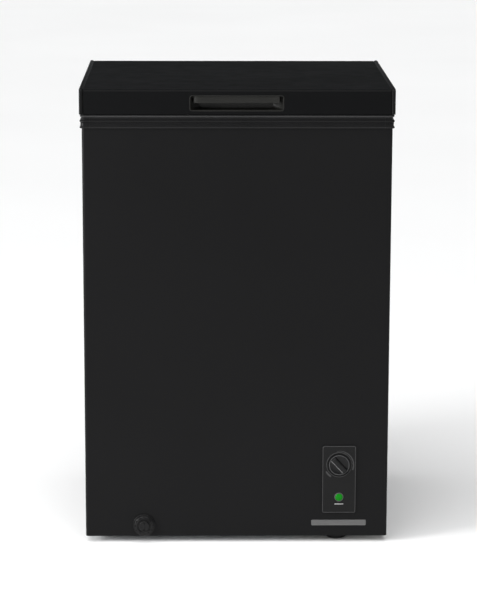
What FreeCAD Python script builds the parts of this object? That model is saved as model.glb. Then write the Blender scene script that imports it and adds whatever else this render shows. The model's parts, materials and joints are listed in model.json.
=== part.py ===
"""Chest freezer of about 99 litres, as an assembly of separate pieces.

Millimetres, +Z up, +X to the right as the user stands at the front, front towards -Y.
The origin is on the floor, under the middle of the whole appliance.
"""
import FreeCAD, Part
import math
import os
import re
import Sketcher

Vector = FreeCAD.Vector
Rotation = FreeCAD.Rotation

doc = FreeCAD.newDocument("ChestFreezer")
sheet = doc.addObject("Spreadsheet::Sheet", "Sizes")

SIZES = (
    # cabinet
    ("cabinet_half", 278.7, "half the cabinet's width over its steel"),
    ("cabinet_front", -237, "front face of the cabinet"),
    ("cabinet_rear", 227, "rear face of the cabinet"),
    ("cabinet_base", 12.7, "underside of the cabinet, on top of the feet"),
    ("steel_top", 786, "top edge of the wrap, under the collar"),
    ("steel", 0.8, "thickness of the painted sheet"),
    ("cabinet_round", 5, "radius of the front vertical edges"),
    # tub
    ("tub_half", 223.5, "half the tub's width over its sheet"),
    ("tub_front", -182, "front of the tub"),
    ("tub_rear", 172, "rear of the tub"),
    ("tub_floor", 68, "underside of the tub's floor"),
    ("step_x", 50, "where the step over the compressor begins"),
    ("step_z", 268, "underside of the step's floor"),
    ("tub_round", 18, "radius of the tub's vertical corners"),
    ("flange_width", 14, "width of the tub's rim flange"),
    # compressor bay
    ("bay_x", 105, "left wall of the compressor bay"),
    ("bay_top", 213, "ceiling of the compressor bay"),
    # collar
    ("collar_top", 797, "sealing face of the collar"),
    ("collar_lip", 776, "bottom edge of the collar's outer lip"),
    ("collar_proud", 3.8, "how far the collar stands out of the steel"),
    ("collar_slope", 6.5, "width of the collar's outer slope"),
    ("collar_drop", 8, "height of the collar's outer slope"),
    ("collar_over", 1.5, "how far the collar laps over the tub's sheet"),
    ("corner_reach", 14, "visible width of a collar corner"),
    # lid
    ("lid_half", 283, "half the lid's width"),
    ("lid_front", -241, "front face of the lid"),
    ("lid_rear", 231, "rear face of the lid"),
    ("lid_skirt", 798.3, "bottom edge of the lid's skirt"),
    ("lid_top", 843, "top face of the lid"),
    ("rim_top", 845, "top of the raised end caps"),
    ("cap_width", 8, "width of an end cap"),
    ("lid_sheet", 1.5, "thickness of the lid's outer panel"),
    ("lid_round", 5, "radius of the lid's front top edge"),
    ("liner_flange", 809, "flat face of the lid's inner panel"),
    ("liner_low", 787, "lowest face of the lid's inner panel"),
    ("plug_gap", 13, "gap from the tub to the lid's raised inner field"),
    ("gasket_half", 254, "half the width over the gasket"),
    ("gasket_wide", 17, "width of the gasket's section"),
    # handle
    ("grip_middle", -1, "middle of the handle recess"),
    ("recess_half", 84.7, "half the width of the handle recess"),
    ("recess_low", 804.3, "bottom of the handle recess"),
    ("recess_high", 832.9, "top of the handle recess"),
    ("recess_depth", 26, "depth of the handle recess"),
    ("bezel_wall", 1.6, "wall of the handle recess"),
    ("grip_low", 818.4, "bottom of the grip bar"),
    # hinges
    ("pivot_y", 239.5, "hinge axis"),
    ("pivot_z", 799, "hinge axis"),
    ("hinge_x", 190.5, "middle of each hinge"),
    ("pin_radius", 3, "hinge pin"),
    ("pin_play", 0.05, "radial clearance of the hinge pin"),
    ("plunger_y", 234.1, "axis of the hinge's plunger and spring"),
    ("plunger_radius", 2, "stem of the plunger"),
    # control panel
    ("panel_x", 189.2, "middle of the control panel"),
    ("panel_half", 31, "half the panel's width"),
    ("panel_low", 57.4, "bottom of the control panel"),
    ("panel_high", 185.2, "top of the control panel"),
    ("knob_z", 149.5, "knob axis"),
    ("knob_radius", 19.4, "outside of the knob"),
    ("lamp_z", 87.6, "indicator axis"),
    ("lamp_radius", 7, "outside of the indicator lens"),
    ("badge_half", 50.5, "half the width of the plain badge"),
    ("badge_low", 32.5, "bottom of the badge"),
    ("badge_high", 43, "top of the badge"),
    # drain
    ("drain_x", -170.7, "drain axis"),
    ("drain_z", 34, "drain axis"),
    ("drain_radius", 20.7, "outside of the drain bezel"),
    ("drain_y", -150, "drain hole in the tub"),
    # compressor
    ("compressor_x", 188, "middle of the compressor"),
    ("compressor_y", 92, "middle of the compressor"),
    ("compressor_low", 34, "lowest point of the compressor"),
    ("compressor_high", 186, "highest point of the compressor"),
    # feet
    ("foot_x", 186.7, "middle of each foot"),
    ("foot_radius", 20.4, "outside of a foot"),
)
for row, (alias, number, note) in enumerate(SIZES, 1):
    sheet.set("A%d" % row, note)
    sheet.set("B%d" % row, str(number))
    sheet.setAlias("B%d" % row, alias)
doc.recompute()

pieces = []


def size(alias):
    """The number that the sheet holds under an alias."""
    return float(sheet.get(alias))


def bound(text):
    """An expression over the sheet's cells, written with their bare aliases."""
    return re.sub(r"[a-z][a-z0-9_]*", lambda found: "Sizes." + found.group(0), str(text))


def number(text):
    """The value that an expression over the sheet's cells has now."""
    return float(doc.getObject("Sizes").evalExpression(bound(text)))


def node(name, piece):
    """Give a finished piece the name that its file takes."""
    piece.Label = name
    pieces.append(piece)
    return piece


# ---------------------------------------------------------------- primitives
TURNS = {
    "up": Rotation(),
    "front": Rotation(Vector(1, 0, 0), 90),
    "right": Rotation(Vector(0, 1, 0), 90),
}


def place(piece, x, y, z):
    """Bind a piece's place to three expressions."""
    piece.setExpression("Placement.Base.x", bound(x))
    piece.setExpression("Placement.Base.y", bound(y))
    piece.setExpression("Placement.Base.z", bound(z))


def box(name, x_range, y_range, z_range):
    """A box between pairs of expressions."""
    piece = doc.addObject("Part::Box", name)
    for side, (low, high) in zip(("Length", "Width", "Height"), (x_range, y_range, z_range)):
        piece.setExpression(side, bound("(%s) - (%s)" % (high, low)))
    place(piece, x_range[0], y_range[0], z_range[0])
    return piece


def rod(name, way, start, radius, length):
    """A cylinder that runs up, to the front or to the right from its start point."""
    piece = doc.addObject("Part::Cylinder", name)
    piece.Placement = FreeCAD.Placement(Vector(), TURNS[way])
    piece.setExpression("Radius", bound(radius))
    piece.setExpression("Height", bound(length))
    place(piece, *start)
    return piece


def fuse(name, *parts):
    """One solid from several that touch or overlap."""
    piece = doc.addObject("Part::MultiFuse", name)
    piece.Shapes = list(parts)
    piece.Refine = True
    return piece


def cut(name, base, *tools):
    """The base less every tool, one after another."""
    for index, tool in enumerate(tools):
        last = index == len(tools) - 1
        piece = doc.addObject("Part::Cut", name if last else "%s_less_%d" % (name, index))
        piece.Base = base
        piece.Tool = tool
        base = piece
    return base


def common(name, base, tool):
    """What two solids share."""
    piece = doc.addObject("Part::Common", name)
    piece.Base = base
    piece.Tool = tool
    return piece


def group(name, *parts):
    """Separate solids that make one node."""
    piece = doc.addObject("Part::Compound", name)
    piece.Links = list(parts)
    return piece


def copies(name, master, moves):
    """The same solid at several places, as one node."""
    doc.recompute()
    shapes = []
    for move in moves:
        shape = master.Shape.copy()
        shape.translate(Vector(*move))
        shapes.append(shape)
    piece = doc.addObject("Part::Feature", name)
    piece.Shape = Part.makeCompound(shapes)
    return piece


# ---------------------------------------------------------------- bodies
def sketch(body, name, role, offset, outline):
    """A closed outline on one of the body's own planes, every point bound to the sheet."""
    profile = body.newObject("Sketcher::SketchObject", name)
    plane = next(item for item in body.Origin.OriginFeatures if item.Role == role)
    profile.AttachmentSupport = [(plane, "")]
    profile.MapMode = "FlatFace"
    for axis, distance in zip("xyz", offset):
        profile.setExpression("AttachmentOffset.Base." + axis, bound(distance))
    values = [(number(u), number(v)) for u, v in outline]
    count = len(outline)
    for index in range(count):
        start = Vector(*values[index])
        end = Vector(*values[(index + 1) % count])
        profile.addGeometry(Part.LineSegment(start, end), False)
    for index in range(count):
        profile.addConstraint(Sketcher.Constraint("Coincident", index, 2, (index + 1) % count, 1))
    for index, point in enumerate(outline):
        for kind, text, value in zip(("DistanceX", "DistanceY"), point, values[index]):
            rule = profile.addConstraint(Sketcher.Constraint(kind, -1, 1, index, 1, value))
            profile.setExpression("Constraints[%d]" % rule, bound(text))
    return profile


def pad(body, profile, length):
    """A straight extrusion of an outline."""
    feature = body.newObject("PartDesign::Pad", "Pad")
    feature.Profile = profile
    feature.setExpression("Length", bound(length))
    doc.recompute()
    return feature


def edges_where(shape, test):
    """The names of the edges that pass a test."""
    return ["Edge%d" % index for index, edge in enumerate(shape.Edges, 1) if test(edge)]


def fillet(body, radius, test):
    """Round the edges of the body so far that pass a test."""
    doc.recompute()
    base = body.Tip
    names = edges_where(base.Shape, test)
    feature = body.newObject("PartDesign::Fillet", "Fillet")
    feature.Base = (base, names)
    feature.setExpression("Radius", bound(radius))
    doc.recompute()
    return feature


def chamfer(body, first, second, test):
    """Bevel the edges of the body so far that pass a test."""
    doc.recompute()
    base = body.Tip
    names = edges_where(base.Shape, test)
    feature = body.newObject("PartDesign::Chamfer", "Chamfer")
    feature.Base = (base, names)
    feature.ChamferType = "Two distances"
    feature.setExpression("Size", bound(first))
    feature.setExpression("Size2", bound(second))
    doc.recompute()
    return feature


def along(axis):
    """A test for straight edges parallel to an axis."""
    way = {"x": Vector(1, 0, 0), "y": Vector(0, 1, 0), "z": Vector(0, 0, 1)}[axis]

    def test(edge):
        if edge.Curve.TypeId != "Part::GeomLine":
            return False
        return abs(edge.tangentAt(edge.FirstParameter).dot(way)) > 0.999

    return test


def at_level(axis, level):
    """A test for edges that lie in a plane across an axis."""

    def test(edge):
        bounds = edge.BoundBox
        low = getattr(bounds, axis.upper() + "Min")
        high = getattr(bounds, axis.upper() + "Max")
        return abs(low - level) < 0.01 and abs(high - level) < 0.01

    return test


def both(first, second):
    """A test that two tests pass."""
    return lambda edge: first(edge) and second(edge)


def block(name, x_range, y_range, z_range, radius, front_only=False):
    """An upright block with rounded vertical edges."""
    body = doc.addObject("PartDesign::Body", name)
    corners = [(x_range[0], y_range[0]), (x_range[1], y_range[0]),
               (x_range[1], y_range[1]), (x_range[0], y_range[1])]
    profile = sketch(body, name + "_plan", "XY_Plane", (0, 0, z_range[0]), corners)
    pad(body, profile, "(%s) - (%s)" % (z_range[1], z_range[0]))
    upright = along("z")
    middle = (number(y_range[0]) + number(y_range[1])) / 2
    fillet(body, radius, lambda edge: upright(edge) and (not front_only or edge.BoundBox.YMax < middle))
    return body


def block_y(name, x_range, y_range, z_range, radius):
    """A flat plate across Y with rounded corners."""
    body = doc.addObject("PartDesign::Body", name)
    corners = [(x_range[0], z_range[0]), (x_range[1], z_range[0]),
               (x_range[1], z_range[1]), (x_range[0], z_range[1])]
    profile = sketch(body, name + "_face", "XZ_Plane", (0, 0, "-(%s)" % y_range[1]), corners)
    pad(body, profile, "(%s) - (%s)" % (y_range[1], y_range[0]))
    fillet(body, radius, along("y"))
    return body


def block_x(name, y_range, z_range, x_range, radius):
    """A flat plate across X with rounded corners."""
    body = doc.addObject("PartDesign::Body", name)
    corners = [(y_range[0], z_range[0]), (y_range[1], z_range[0]),
               (y_range[1], z_range[1]), (y_range[0], z_range[1])]
    profile = sketch(body, name + "_face", "YZ_Plane", (0, 0, x_range[0]), corners)
    pad(body, profile, "(%s) - (%s)" % (x_range[1], x_range[0]))
    fillet(body, radius, along("x"))
    return body


def turned(name, way, centre, outline):
    """A piece turned about an axis up or along Y; its outline is (radius, height) pairs."""
    body = doc.addObject("PartDesign::Body", name)
    x, y, z = centre
    if way == "up":
        profile = sketch(body, name + "_half", "XZ_Plane", (x, z, "-(%s)" % y), outline)
    else:
        profile = sketch(body, name + "_half", "XY_Plane", (x, y, z), outline)
    feature = body.newObject("PartDesign::Revolution", "Revolution")
    feature.Profile = profile
    feature.ReferenceAxis = (profile, ["V_Axis"])
    feature.Angle = 360
    doc.recompute()
    return body


# ---------------------------------------------------------------- tubes
def rounded_path(points, bend):
    """Straight runs joined by tangent arcs of one radius."""
    points = [Vector(*point) for point in points]
    edges = []
    start = points[0]
    for before, corner, after in zip(points, points[1:], points[2:]):
        inward = (corner - before).normalize()
        outward = (after - corner).normalize()
        turn = inward.getAngle(outward)
        reach = bend * math.tan(turn / 2)
        arc_start = corner - inward * reach
        arc_end = corner + outward * reach
        to_centre = (outward - inward).normalize()
        middle = corner + to_centre * (bend / math.cos(turn / 2) - bend)
        edges.append(Part.LineSegment(start, arc_start).toShape())
        edges.append(Part.Arc(arc_start, middle, arc_end).toShape())
        start = arc_end
    edges.append(Part.LineSegment(start, points[-1]).toShape())
    return Part.Wire(edges)


def tube(name, points, bend, radius):
    """A bent tube; its volume is checked against its section times its length."""
    path = rounded_path(points, bend)
    way = path.Edges[0].tangentAt(path.Edges[0].FirstParameter)
    ring = Part.Wire([Part.Circle(Vector(*points[0]), way, radius).toShape()])
    shape = path.makePipeShell([ring], True, False)
    expected = math.pi * radius * radius * path.Length
    if abs(shape.Volume - expected) > 0.02 * expected:
        raise RuntimeError("%s has volume %.0f, not %.0f" % (name, shape.Volume, expected))
    piece = doc.addObject("Part::Feature", name)
    piece.Shape = shape
    return piece


# ================================================================ cabinet
def tub_block(name, shrink, top):
    """The tub's outside, or with a shrink its inside, with the step over the compressor."""
    body = doc.addObject("PartDesign::Body", name)
    left, right = "%s - tub_half" % shrink, "tub_half - %s" % shrink
    floor, step = "tub_floor + %s" % shrink, "step_z + %s" % shrink
    wall = "step_x - %s" % shrink
    outline = [(left, floor), (wall, floor), (wall, step), (right, step), (right, top), (left, top)]
    profile = sketch(body, name + "_front", "XZ_Plane", (0, 0, "%s - tub_rear" % shrink), outline)
    pad(body, profile, "tub_rear - tub_front - 2 * %s" % shrink)
    fillet(body, "tub_round - %s" % shrink, along("z"))
    return body


def cabinet_sheets():
    """The painted wrap of front and sides, the back, the bottom and the bay's partition."""
    tall = ("cabinet_base", "steel_top")
    outside = block("wrap_outside", ("-cabinet_half", "cabinet_half"),
                    ("cabinet_front", "cabinet_rear"), tall, "cabinet_round", True)
    inside = block("wrap_inside", ("steel - cabinet_half", "cabinet_half - steel"),
                   ("cabinet_front + steel", "cabinet_rear + 20"),
                   ("cabinet_base - 5", "steel_top + 5"), "cabinet_round - steel", True)
    window = box("panel_window", ("panel_x - panel_half + 3.5", "panel_x + panel_half - 3.5"),
                 ("cabinet_front - 5", "cabinet_front + 5"), ("panel_low + 3.5", "panel_high - 3.5"))
    outlet = rod("drain_outlet", "front", ("drain_x", "cabinet_front + 5", "drain_z"), 16, 10)
    vent = box("vent_opening", ("cabinet_half - 5", "cabinet_half + 5"), (20, 150), (62, 162))
    wrap = cut("wrap", outside, inside, window, outlet, vent)
    node("cabinet_wrap", wrap)

    back = box("back_sheet", ("steel - cabinet_half", "cabinet_half - steel"),
               ("cabinet_rear - steel", "cabinet_rear"), tall)
    beads = []
    for index, middle in enumerate((-150, 0, 150)):
        beads.append(box("back_bead_%d" % index, (middle - 22, middle + 22),
                         ("cabinet_rear - steel / 2", "cabinet_rear + 1.2"), (300, 640)))
    mouth = box("bay_mouth", ("bay_x + 8", "cabinet_half - 10"),
                ("cabinet_rear - 5", "cabinet_rear + 5"), (26, "bay_top - 8"))
    node("rear_panel", cut("back_cut", fuse("back_beaded", back, *beads), mouth))

    bottom = box("bottom", ("steel - cabinet_half", "bay_x"),
                 ("cabinet_front + steel", "cabinet_rear - steel"), ("cabinet_base", "cabinet_base + steel"))
    node("bottom_panel", common("bottom_fitted", bottom, inside))
    wall = box("bay_wall", ("bay_x", "bay_x + steel"), ("cabinet_front + steel", "cabinet_rear - steel"),
               ("cabinet_base + 2", "bay_top + steel"))
    ceiling = box("bay_ceiling", ("bay_x", "cabinet_half - steel"),
                  ("cabinet_front + steel", "cabinet_rear - steel"), ("bay_top", "bay_top + steel"))
    holes = [rod("partition_hole_%d" % index, way, start, 4, 20) for index, (way, start) in enumerate((
        ("up", (150, "tub_rear + 4.2", "bay_top - 10")),
        ("up", (120, 205, "bay_top - 10")),
        ("right", ("bay_x - 10", -233.4, 150)),
        ("right", ("bay_x - 10", 223.4, 150)),
    ))]
    angle = common("bay_angle_fitted", fuse("bay_angle", wall, ceiling), inside)
    node("bay_partition", cut("partition", angle, *holes))


EVAPORATOR_LEVELS = [320 + 70 * index for index in range(7)]


def coils():
    """The tubes that are foamed into the walls; a channel is kept for each."""
    side = size("tub_half") + 4.2
    front = size("tub_front") - 4.2
    rear = size("tub_rear") + 4.2
    points = [(150, rear, size("bay_top") - 8), (150, rear, EVAPORATOR_LEVELS[0])]
    for level in EVAPORATOR_LEVELS:
        points += [(side, rear, level), (side, front, level), (-side, front, level), (-side, rear, level)]
        if level != EVAPORATOR_LEVELS[-1]:
            points += [(-30, rear, level), (30, rear, level + 70)]
    points.append((-20, rear, EVAPORATOR_LEVELS[-1]))
    evaporator = tube("evaporator", points, 16, 4)
    evaporator_channel = tube("evaporator_channel", points, 16, 4.5)

    skin = size("cabinet_half") - size("steel") - 2.8
    front_skin = size("cabinet_front") + size("steel") + 2.8
    rear_skin = size("cabinet_rear") - size("steel") - 2.8
    points = [(112, front_skin, 150), (-skin, front_skin, 150)]
    heights = (150, 720)
    for index in range(6):
        run = -190 + 76 * index
        ends = heights if index % 2 == 0 else heights[::-1]
        points += [(-skin, run, ends[0]), (-skin, run, ends[1])]
    points += [(-skin, rear_skin, 150), (112, rear_skin, 150)]
    condenser = tube("condenser", points, 12, 2.5)
    condenser_channel = tube("condenser_channel", points, 12, 3)

    points = [(120, 205, size("bay_top") - 8), (120, 205, 700), (24, 205, 756), (0, 192, 746),
              (-19.5, rear, 740)]
    capillary = tube("capillary", points, 12, 1)
    capillary_channel = tube("capillary_channel", points, 12, 1.5)
    node("evaporator_coil", evaporator)
    node("condenser_coil", condenser)
    node("capillary_tube", capillary)
    return [evaporator_channel, condenser_channel, capillary_channel]


def tub_and_foam(channels):
    """The insulation, and the tub that it holds."""
    tub = tub_block("tub_outside", 0, "steel_top")
    flange = block("tub_flange", ("-tub_half - flange_width", "tub_half + flange_width"),
                   ("tub_front - flange_width", "tub_rear + flange_width"),
                   ("steel_top - steel", "steel_top"), "tub_round + flange_width")
    hollow = tub_block("tub_inside", "steel", "steel_top + 5")
    outlet = rod("tub_outlet", "up", ("drain_x", "drain_y", "tub_floor - 5"), 9.05, 10)
    node("inner_liner", cut("liner", fuse("tub_and_flange", tub, flange), hollow, outlet))

    mass = block("foam_mass", ("steel - cabinet_half", "cabinet_half - steel"),
                 ("cabinet_front + steel", "cabinet_rear - steel"),
                 ("cabinet_base + steel", "steel_top"), "cabinet_round - steel", True)
    bay = box("foam_bay", ("bay_x", "cabinet_half + 5"), ("cabinet_front - 5", "cabinet_rear + 5"),
              ("cabinet_base - 5", "bay_top + steel"))
    drain_down = rod("foam_drain_down", "up", ("drain_x", "drain_y", "drain_z - 10"), 9.5, 50)
    drain_out = rod("foam_drain_out", "front", ("drain_x", "drain_y + 10", "drain_z"), 16, 100)
    node("cabinet_foam", cut("foam", mass, tub, flange, bay, drain_down, drain_out, *channels))


def collar():
    """A moulded rim between steel and tub, in four strips and four corner pieces."""
    reach = "cabinet_half + collar_proud"
    front, rear = "cabinet_front - collar_proud", "cabinet_rear + collar_proud"
    ring = block("collar_ring", ("-(%s)" % reach, reach), (front, rear), ("collar_lip", "collar_top"),
                 "cabinet_round + collar_proud")
    top = size("collar_top")
    low = size("collar_lip")
    chamfer(ring, "collar_drop", "collar_slope", at_level("z", top))
    chamfer(ring, 2.2, 3, at_level("z", low))
    doc.recompute()
    under = block("collar_under", ("-cabinet_half", "cabinet_half"), ("cabinet_front", "cabinet_rear"),
                  ("collar_lip - 5", "steel_top"), "cabinet_round", True)
    over = "steel + collar_over"
    well = block("collar_well", ("-tub_half + %s" % over, "tub_half - (%s)" % over),
                 ("tub_front + %s" % over, "tub_rear - (%s)" % over),
                 ("steel_top - 5", "collar_top + 5"), "tub_round - (%s)" % over)
    whole = cut("collar_whole", ring, under, well)

    mitre = "cabinet_half - corner_reach"
    wide, tall = "cabinet_half + 20", ("collar_lip - 10", "collar_top + 10")
    depth = "tub_front + 5", "tub_rear - 5"
    front_reach, rear_reach = "cabinet_front + corner_reach", "cabinet_rear - corner_reach"
    zones = {
        "collar_front": [(("-(%s)" % mitre, mitre), ("cabinet_front - 20", depth[0]))],
        "collar_rear": [(("-(%s)" % mitre, mitre), (depth[1], "cabinet_rear + 20"))],
        "collar_left": [(("-(%s)" % wide, "-(%s)" % mitre), (front_reach, rear_reach)),
                        (("-(%s)" % wide, "-tub_half + 10"), depth)],
        "collar_right": [((mitre, wide), (front_reach, rear_reach)),
                         (("tub_half - 10", wide), depth)],
        "collar_corners": [(side, reach_y)
                           for side in (("-(%s)" % wide, "-(%s)" % mitre), (mitre, wide))
                           for reach_y in (("cabinet_front - 20", front_reach),
                                           (rear_reach, "cabinet_rear + 20"))],
    }
    for name, boxes in zones.items():
        parts = [box("%s_zone_%d" % (name, index), x_range, y_range, tall)
                 for index, (x_range, y_range) in enumerate(boxes)]
        zone = fuse(name + "_zone", *parts) if len(parts) > 1 else parts[0]
        node(name, common(name + "_part", whole, zone))


def feet():
    """Four moulded feet; the two at the left stand further back, clear of the drain."""
    outline = [(0, 0), ("foot_radius - 1.5", 0), ("foot_radius", 2), ("foot_radius", 9),
               ("foot_radius - 2", 11), ("foot_radius - 2", "cabinet_base"), (0, "cabinet_base")]
    master = turned("foot", "up", (0, 0, 0), outline)
    far = size("foot_x")
    moves = [(far, -196.6, 0), (-far, -152, 0), (far, 186, 0), (-far, 186, 0)]
    node("cabinet_feet", copies("feet", master, moves))


# ================================================================ cooling unit
def compressor():
    """The sealed compressor on its bracket, grommets and base plate, with its relay cover."""
    x_half, y_half = 62, 76
    middle = ("compressor_x", "compressor_y")
    ranges = [("%s - %d" % (centre, half), "%s + %d" % (centre, half))
              for centre, half in zip(middle, (x_half, y_half))]
    can = block("compressor_can", ranges[0], ranges[1], ("compressor_low", "compressor_high"), 52)
    fillet(can, 34, at_level("z", size("compressor_high")))
    fillet(can, 22, at_level("z", size("compressor_low")))
    seam_ranges = [("%s - %d" % (centre, half + 4), "%s + %d" % (centre, half + 4))
                   for centre, half in zip(middle, (x_half, y_half))]
    seam = block("compressor_seam", seam_ranges[0], seam_ranges[1], (104, 107), 56)
    node("compressor_housing", fuse("compressor_shell", can, seam))

    plate = block("compressor_bracket_plan", ("compressor_x - 66", "compressor_x + 66"),
                  ("compressor_y - 84", "compressor_y + 84"), (30, 33), 12)
    post_places = [(sx * 54, sy * 72) for sx in (-1, 1) for sy in (-1, 1)]
    holes = [rod("bracket_hole_%d" % index, "up",
                 ("compressor_x + (%d)" % dx, "compressor_y + (%d)" % dy, 25), 7, 20)
             for index, (dx, dy) in enumerate(post_places)]
    pad_ring = rod("bracket_pad", "up", ("compressor_x", "compressor_y", 30), 40, 3.9)
    node("compressor_bracket", cut("bracket", fuse("bracket_padded", plate, pad_ring), can, *holes))

    moves = [(size("compressor_x") + dx, size("compressor_y") + dy, 0) for dx, dy in post_places]
    grommet = turned("grommet", "up", (0, 0, 0), [
        (3.2, 14.8), (9, 14.8), (9, 29.9), (6.8, 30), (6.8, 33), (9, 33.1), (9, 37), (3.2, 37)])
    node("compressor_grommets", copies("grommets", grommet, moves))
    bolt = turned("mount_bolt", "up", (0, 0, 0), [
        (0, 12), (3.1, 12), (3.1, 37.1), (6.5, 37.1), (6.5, 41), (5.5, 42), (0, 42)])
    node("compressor_bolts", copies("mount_bolts", bolt, moves))

    plate = box("base_plate_sheet", ("bay_x", "cabinet_half - steel"),
                ("cabinet_front + steel", "cabinet_rear - steel"), ("cabinet_base", "cabinet_base + 2"))
    bores = [rod("base_hole_%d" % index, "up", (move[0], move[1], 8), 3.1, 12)
             for index, move in enumerate(moves)]
    slots = [box("base_slot_%d" % index, (130, 240), (-150 + 22 * index, -142 + 22 * index), (5, 25))
             for index in range(5)]
    fitted = common("base_plate_fitted", plate, doc.getObject("wrap_inside"))
    node("compressor_base_plate", cut("base_plate", fitted, *bores, *slots))

    cover = block("relay_cover_plan", ("compressor_x - 24", "compressor_x + 24"),
                  ("compressor_y - 112", "compressor_y - 70"), (70, 128), 8)
    fillet(cover, 3, at_level("z", 128))
    node("compressor_relay_cover", cut("relay_cover", cover, can, seam))


def cooling_tubes():
    """The copper between compressor, drier and the foamed coils."""
    rear = size("tub_rear") + 4.2
    x, y = size("compressor_x"), size("compressor_y")
    top = size("bay_top") - 8.2
    suction = tube("suction", [(150, rear, top), (150, rear, 168), (150, y + 60, 150), (150, y + 30, 150)],
                   8, 4)
    discharge = tube("discharge", [(112.2, -233.4, 150), (140, -233.4, 150), (140, -150, 165),
                                   (140, y - 20, 165), (146, y - 20, 140)], 10, 2.5)
    process = turned("process", "up", (214, 128, 0), [
        (0, 176), (3, 176), (3, 196), (1.2, 199), (1.2, 205), (0, 205)])
    can = doc.getObject("compressor_can")
    node("process_tube", cut("process_stub", process, can))
    for item, name in ((suction, "suction"), (discharge, "discharge")):
        node(name + "_tube", cut(name + "_trimmed", item, can))
    drier = turned("drier", "up", (124, 205, 0), [
        (0, 118), (2, 118), (2, 124), (9, 132), (9, 176), (2, 184), (2, 190), (0, 190)])
    node("filter_drier", drier)
    link = tube("drier_link", [(112.2, 223.4, 150), (117.5, 223.4, 150), (117.5, 223.4, 108),
                               (124, 205, 100), (124, 205, 117.8)], 2.5, 1.6)
    node("drier_inlet_tube", link)


def bay_covers():
    """The louvred cover of the bay, its screws, the cord's gland and the side grille."""
    x_range = ("bay_x + 2", "cabinet_half - 4")
    cover = block_y("cover_plate", x_range, ("cabinet_rear", "cabinet_rear + 2.5"), (20, "bay_top - 2"), 8)
    slots = []
    for column in range(3):
        for line in range(9):
            left = 124 + 44 * column
            low = 62 + 14 * line
            slots.append(box("cover_slot_%d_%d" % (column, line), (left, left + 36),
                             ("cabinet_rear - 5", "cabinet_rear + 8"), (low, low + 6)))
    gland_hole = rod("gland_hole", "front", (136, "cabinet_rear + 10", 40), 7, 20)
    node("rear_compressor_cover", cut("cover", cover, group("cover_slots", *slots), gland_hole))
    gland = turned("gland", "front", (136, 0, 40), [
        (3.6, 222), (6.95, 222), (6.95, 229.6), (10, 229.6), (10, 232), (8, 235), (3.6, 235)])
    node("cord_gland", gland)
    screw = turned("cover_screw", "front", (0, 0, 0), [
        (0, 218), (2, 218), (2, 229.5), (4, 229.5), (4, 231), (3, 232), (0, 232)])
    right = size("cabinet_half") - 9.7
    places = [(x, 0, z) for x in (112, right) for z in (26, 205)]
    places += [(side * size("hinge_x"), -1, z) for side in (-1, 1) for z in (686, 696)]
    node("rear_screws", copies("back_screws", screw, places))

    frame_plate = block_x("grille_plate", (15, 155), (57, 167), ("cabinet_half", "cabinet_half + 2.2"), 8)
    collar_plate = box("grille_neck", ("cabinet_half - 6", "cabinet_half"), (20.5, 149.5), (62.5, 161.5))
    slots = [box("grille_slot_%d" % index, ("cabinet_half - 10", "cabinet_half + 8"), (24, 146),
                 (67 + 10 * index, 72 + 10 * index)) for index in range(9)]
    node("side_vent_grille", cut("grille", fuse("grille_body", frame_plate, collar_plate),
                                 group("grille_slots", *slots)))


# ================================================================ controls and drain
KNOB_TURN = 43      # degrees that the knob's bar leans to the left at rest


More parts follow.
